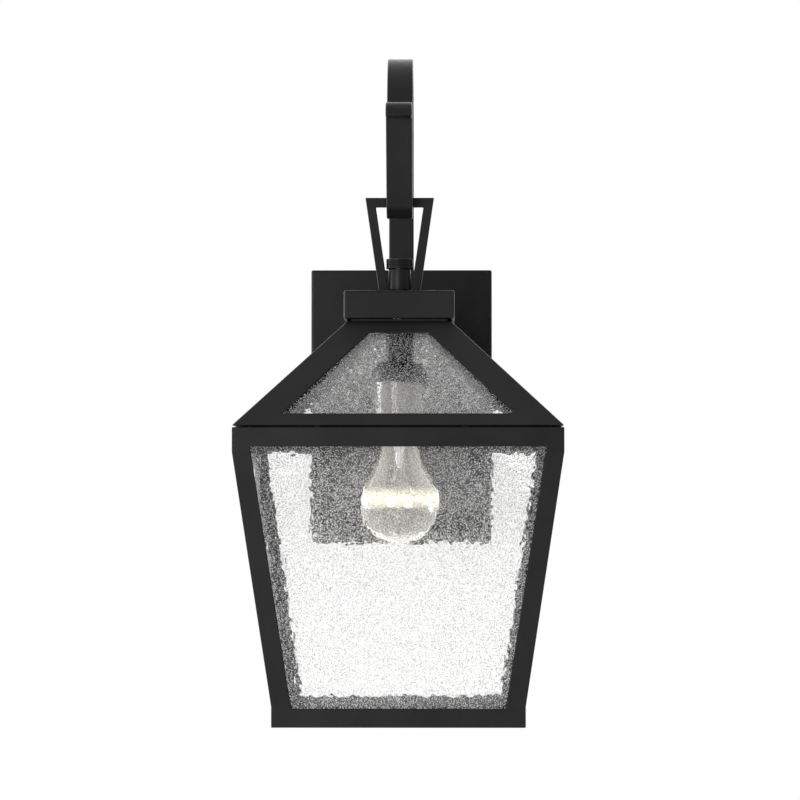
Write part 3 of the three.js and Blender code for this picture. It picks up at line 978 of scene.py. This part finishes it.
@dataclass
class FoldedFrame:
    """A four-sided frame of folded sheet, with one window in each side.

    Each row is a square ring: its height, its half width, and the half width of the window's edge there. Rows
    run from the lowest inside edge, out, up, and in again.
    """

    name: str
    rows: list[Triple]
    window: tuple[int, int]
    stands_for: tuple[str, ...]
    wall: float = 1.6
    bend: float = 0.7

    def build(self) -> None:
        """Lays twelve points round each row, leaves out the windows, and thickens the sheet inwards."""
        z, half, edge = (np.array(column) for column in zip(*self.rows))
        x = np.stack([-half, -edge, edge], -1)
        y = np.repeat(-half[:, None], 3, 1)
        sides = []
        for side in Side:
            c, s = (1, 0, -1, 0)[side.value], (0, 1, 0, -1)[side.value]
            sides.append(np.stack([c * x - s * y, s * x + c * y, np.repeat(z[:, None], 3, 1)], -1))
        grid = np.concatenate(sides, 1)
        faces = quads(len(z), 12).reshape(len(z) - 1, 12, 4)
        keep = np.ones(faces.shape[:2], bool)
        keep[self.window[0]:self.window[1], 1::3] = False
        made = piece(self.name, [(grid.reshape(-1, 3), faces[keep])], self.stands_for, sharp=3)
        soften(made, self.bend, self.wall)


def between(z: float, low: Pair, high: Pair) -> float:
    """What a straight line between two (height, reach) points reaches at a height."""
    return float(np.interp(z, [low[0], high[0]], [low[1], high[1]]))


@dataclass
class Housing:
    """The glazed roof and body. Each pair is a height and the half width there, of the sheet or the window."""

    roof_foot: Pair = (-23.2, 120.2)
    roof_head: Pair = (57.1, 38.9)
    roof_window: tuple[Pair, Pair] = ((-14.0, 84.2), (48.6, 21.7))
    lip: Pair = (-29.0, 108.8)
    crown_hole: float = 6.0
    body_heights: tuple[float, ...] = (-242.8, -228.9, -227.5, -42.2, -38.6, -24.5)
    body_slant: tuple[Pair, Pair] = ((-227.5, 92.8), (-42.2, 120.2))
    body_window: tuple[Pair, Pair] = ((-228.9, 78.1), (-38.6, 107.0))
    foot_edge: float = 76.0
    flange: float = 11.0

    @staticmethod
    def members(*stems: str) -> tuple[str, ...]:
        """The CAD nodes of one frame: each stem with the four corners' or the four sides' names."""
        corners = ("front_left", "front_right", "back_right", "back_left")
        sides = tuple(side.name.lower() for side in Side)
        return tuple(f"{stem}_{end}" for stem in stems
                     for end in (corners if stem in ("roof_hip", "corner_post") else sides))

    def roof(self) -> None:
        """The roof's sheet, from the rain lip inside its foot up to the crown."""
        (low, foot), (high, head), (sill, lintel) = self.roof_foot, self.roof_head, self.roof_window
        rows = [(*self.lip, sill[1]), (low, self.lip[1], sill[1]), (low, foot, sill[1])]
        rows += [(z, between(z, self.roof_foot, self.roof_head), edge) for z, edge in (sill, lintel)]
        rows += [(high, head, lintel[1]), (high, self.crown_hole, self.crown_hole / 2)]
        nodes = self.members("roof_hip", "roof_rail") + ("roof_crown",)
        FoldedFrame("roof_frame", rows, (3, 4), nodes).build()

    def body(self) -> None:
        """The body's sheet, from its bottom flange up to its top one."""
        (_, foot), (_, head) = self.body_slant
        rows = [(z, between(z, *self.body_slant), between(z, *self.body_window)) for z in self.body_heights]
        rows = [(rows[0][0], foot - self.flange, self.foot_edge), *rows,
                (rows[-1][0], head - self.flange, self.body_window[1][1])]
        nodes = self.members("corner_post", "top_rail", "bottom_rail")
        FoldedFrame("body_frame", rows, (2, 5), nodes).build()

    def build(self) -> None:
        """Makes both frames and dresses the panes and tabs."""
        self.roof()
        self.body()
        for side in Side:
            dress([f"roof_pane_{side.name.lower()}", f"body_pane_{side.name.lower()}"], Slot.SEEDED)
        tabs = [f"roof_tab_{face}_{hand}" for face in ("front", "back") for hand in ("left", "right")]
        dress(tabs, Slot.BLACK)


@dataclass
class Lampholder:
    """The sleeve, the steel cup, and the porcelain body with its brass."""

    cup_top: float = 26.2
    cup: float = 20.5
    cup_bottom: float = 12.0
    radius: float = 18.5
    bore: float = 14.4
    rim: float = -27.0
    hole: float = 5.3
    sleeve: float = 10.5
    sleeve_top: float = 55.2

    def build(self) -> None:
        """Turns the sleeve, cup and porcelain, and dresses the brass."""
        low = self.cup_top + GAP
        sleeve = [(self.hole, low), (self.sleeve, low), (self.sleeve, self.sleeve_top),
                  (self.hole, self.sleeve_top), (self.hole, low)]
        piece("spacer_sleeve", [lathe(eased(sleeve, 0.4))], ("socket_sleeve",))
        top, wall = self.cup_top, 1.2
        cup = [(self.hole, top), (self.hole, top - 2), (self.cup - 5.6, top - 2), (self.cup - wall, top - 5.5),
               (self.cup - wall, self.cup_bottom), (self.cup, self.cup_bottom), (self.cup, top - 5),
               (self.cup - 5, top), (self.hole, top)]
        piece("lampholder_cup", [lathe(eased(cup, 1.2))], ("socket_cup",))
        body = [(0, 10), (0, 4), (self.bore, 4), (self.bore, self.rim), (self.radius - 2, self.rim),
                (self.radius, self.rim + 6), (self.radius, 16), (self.radius - 3, 18), (self.hole + 2, 18),
                (self.hole + 2, 10), (0, 10)]
        piece("porcelain_body", [lathe(eased(body, 1.0))], ("socket_body",), slot=Slot.PORCELAIN)
        dress(["socket_shell", "socket_contact"], Slot.BRASS)


@dataclass
class Bulb:
    """The screw-in bulb: envelope, threaded base, glass stem with its wires, and the coiled filament."""

    bottom: float = -108.8
    radius: float = 30.0
    neck: float = 11.7
    neck_top: float = -25.0
    wall: float = 0.6
    base: float = 12.9
    base_top: float = -5.0
    base_bottom: float = -29.0
    pitch: float = 3.63
    roll: float = 0.35
    coils: int = 60
    coil: float = 0.42
    wire: float = 0.12

    def outline(self, inset: float) -> Array:
        """The envelope's profile from its bottom up to its open neck.

        A circle from straight down to 30 degrees above level, then a shoulder whose radius eases to the neck's
        as 1 - (1 - t)^1.7.

        Args:
            inset: how far inside the outer skin.

        Returns:
            n x 2 (radius, z) points.
        """
        r = self.radius - inset
        middle = self.bottom + self.radius
        t = np.radians(np.linspace(-90, 30, 41))
        globe = np.stack([r * np.cos(t), middle + r * np.sin(t)], -1)
        globe[0, 0] = 0
        s = np.linspace(0, 1, 25)[1:]
        ease = 1 - (1 - s) ** 1.7
        start = globe[-1]
        neck = np.stack([start[0] + ease * (self.neck - inset - start[0]),
                         start[1] + s * (self.neck_top - start[1])], -1)
        return np.concatenate([globe, neck])

    def envelope(self) -> None:
        """The thin blown glass."""
        skin = np.concatenate([self.outline(0), self.outline(self.wall)[::-1]])
        piece("bulb_glass", [lathe(skin, 128)], ("bulb_envelope",), Body.BULB, Slot.CLEAR)

    def screw_base(self) -> None:
        """The brass shell.

        Over the thread the radius is base - roll + roll * sin(2 pi * (z / pitch) - t), which is one rolled
        thread that climbs a pitch a turn; it fades out at both ends.
        """
        turn = around(96)
        z = np.linspace(self.base_bottom + 2.5, self.base_top - 1, 72)[:, None]
        fade = np.minimum(1, np.minimum(z - z[0], z[-1] - z) / 1.5)
        radius = self.base - self.roll + self.roll * np.sin(2 * math.pi * z / self.pitch - turn) * fade
        low = [(12.2, self.base_bottom - 0.4), (13.3, self.base_bottom - 0.4), (12.7, self.base_bottom + 1.6)]
        high = [(12.0, self.base_top), (6.0, self.base_top + 2.2), (0.0, self.base_top + 2.2)]
        down = [(0.0, self.base_top + 1.2), (5.6, self.base_top + 1.2), (11.6, self.base_top - 0.9),
                (11.8, self.base_bottom + 2.0), low[0]]
        plain = [revolved(np.array(rows)[:, :1], np.array(rows)[:, 1:], turn) for rows in (low, high + down)]
        grid = np.concatenate([plain[0], revolved(radius, z, turn), plain[1]])
        piece("bulb_screw_base", [closed(grid)], ("bulb_base",), Body.BULB, Slot.BRASS)

    def filament(self) -> None:
        """The pressed glass stem, its two support wires, and the coil.

        The coil is the bowed line between the wires plus coil * (cos a * up + sin a * side).
        """
        press = lathe(eased([(0, -52), (2.6, -51), (3.2, -40), (5.6, -33), (6.2, -28), (0, -28)], 2.0, 5), 48)
        t = np.linspace(0, 1, 24)[:, None]
        wires = []
        for side in (-1, 1):
            bend = (side * 1.6, 0, -50), (side * 5, 0, -64), (side * 13, 0, -74.2)
            a, b, c = (np.array(point, float) for point in bend)
            wires.append(tube(bow(a, b, c, t), np.tile([0.0, 1.0, 0.0], (len(t), 1)), 0.35))
        piece("filament_stem", [press, *wires], ("filament_mount",), Body.BULB, Slot.ZINC)
        s = np.linspace(0, 1, self.coils * 12 + 1)[:, None]
        spine = bow(np.array([-13, 0, -74.6]), np.array([0, -9, -76.5]), np.array([13, 0, -74.6]), s)
        heading = unit(np.gradient(spine, axis=0))
        up = unit(np.cross(heading, [0.0, 1.0, 0.0]))
        angle = s * self.coils * 2 * math.pi
        radial = np.cos(angle) * up + np.sin(angle) * np.cross(heading, up)
        coil = tube(spine + self.coil * radial, radial, self.wire, 5)
        piece("coiled_filament", [coil], ("filament",), Body.BULB, Slot.GLOW)

    def build(self) -> None:
        """Makes the bulb's pieces and dresses its centre contact."""
        self.envelope()
        self.screw_base()
        self.filament()
        dress(["bulb_contact"], Slot.BRASS)


# ---- the studio


def grey(value: float) -> Colour:
    """A grey of one brightness."""
    return value, value, value


@dataclass(frozen=True)
class Lamp:
    """A soft square light: its place and aim in metres, its side, and its power in watts."""

    name: str
    place: Triple
    aim: Triple
    size: float
    power: float

    def build(self) -> None:
        """Makes the light, turned so that it faces its aim."""
        light = bpy.data.lights.new(self.name, "AREA")
        light.shape = "SQUARE"
        light.size = self.size
        light.energy = self.power
        made = bpy.data.objects.new(self.name, light)
        made.location = self.place
        away = np.array(self.place, float) - np.array(self.aim, float)
        flat = math.hypot(away[0], away[1])
        made.rotation_euler = (math.atan2(flat, away[2]), 0.0, math.atan2(away[0], -away[1]))
        bpy.context.scene.collection.objects.link(made)


@dataclass
class Studio:
    """A white room: a pale floor well below the lantern, soft light, and the camera. Its sizes are metres.

    The dome's brightness is given towards the left, the right and the top, behind the lantern, and ahead of it,
    where the camera stands in a darker part of the room. Through is the white seen straight through glass.
    """

    floor_z: float = -1.05
    left: float = 1.3
    right: float = 0.40
    ahead: float = 0.45
    behind: float = 2.6
    top: float = 0.75
    through: float = 1.03
    lamps: tuple[Lamp, ...] = (Lamp("key", (-1.25, -2.7, 0.1), (0.0, -0.15, 0.0), 1.2, 31.0),
                               Lamp("rim", (-2.2, 0.7, 0.1), (0.0, 0.0, 0.0), 1.0, 24.0))
    eye: Triple = (0.026, -2.692, -0.0974)
    tilt: float = math.radians(92.205)
    turn: float = math.radians(0.586)
    lens: float = 149.6
    sensor: float = 36.0

    def floor(self) -> None:
        """A wide disc, out of the camera's sight."""
        points, faces = lathe([(0, 0), (6000, 0), (6000, -20), (0, -20)], 64)
        mesh = bpy.data.meshes.new("floor")
        mesh.from_pydata((points * MM + [0, 0, self.floor_z]).tolist(), [], faces.tolist())
        mesh.materials.append(PaleFloor().material())
        made = bpy.data.objects.new("floor", mesh)
        bpy.context.scene.collection.objects.link(made)

    def surroundings(self) -> None:
        """White where the eye or a straight ray through glass ends, and the dome for the light that falls."""
        world = bpy.data.worlds.new("white_room")
        world.use_nodes = True
        bpy.context.scene.world = world
        loom = Loom(world.node_tree)
        gaze = loom.node("ShaderNodeTexCoord", output="Generated")
        way = {axis: loom.node("ShaderNodeSeparateXYZ", None, {0: gaze}, axis) for axis in "XYZ"}
        ray = {answer: loom.node("ShaderNodeLightPath", output=answer)
               for answer in ("Is Camera Ray", "Is Transmission Ray", "Diffuse Depth")}
        sides = loom.tint(way["X"].step(-0.9, 0.9), grey(self.left), grey(self.right))
        back = loom.tint(way["Y"].step(0.0, 0.5), sides, grey(self.behind))
        walls = loom.tint((0.0 - way["Y"]).step(0.35, 0.95), back, grey(self.ahead))
        dome = loom.tint(way["Z"].step(0.3, 0.9), walls, grey(self.top))
        straight = ray["Is Transmission Ray"] * (1.0 - ray["Diffuse Depth"].over(0.5))
        glass = loom.tint(straight, dome, grey(self.through))
        shade = loom.tint(ray["Is Camera Ray"], glass, grey(1.0))
        light = loom.node("ShaderNodeBackground", None, {"Color": shade, "Strength": 1.0})
        loom.finish("ShaderNodeOutputWorld", light)

    def camera(self) -> None:
        """A long lens a little below the lantern's middle, tipped up slightly."""
        lens = bpy.data.cameras.new("camera")
        lens.sensor_width = self.sensor
        lens.lens = self.lens
        lens.clip_start, lens.clip_end = 0.05, 60.0
        made = bpy.data.objects.new("camera", lens)
        made.location = self.eye
        made.rotation_euler = (self.tilt, 0.0, self.turn)
        bpy.context.scene.collection.objects.link(made)
        bpy.context.scene.camera = made

    def build(self) -> None:
        """Sets the room up."""
        self.camera()
        self.floor()
        self.surroundings()
        for lamp in self.lamps:
            lamp.build()
        bpy.context.scene.view_settings.view_transform = "Standard"
        bpy.context.scene.view_settings.look = "None"


def main() -> None:
    """Builds every sub-assembly in order."""
    logging.basicConfig(level=logging.INFO, format="%(name)s %(message)s")
    Studio().build()
    WallMount().build()
    HookArm().build()
    Hanger().build()
    Housing().build()
    Lampholder().build()
    Bulb().build()


if __name__ == "__main__":
    main()
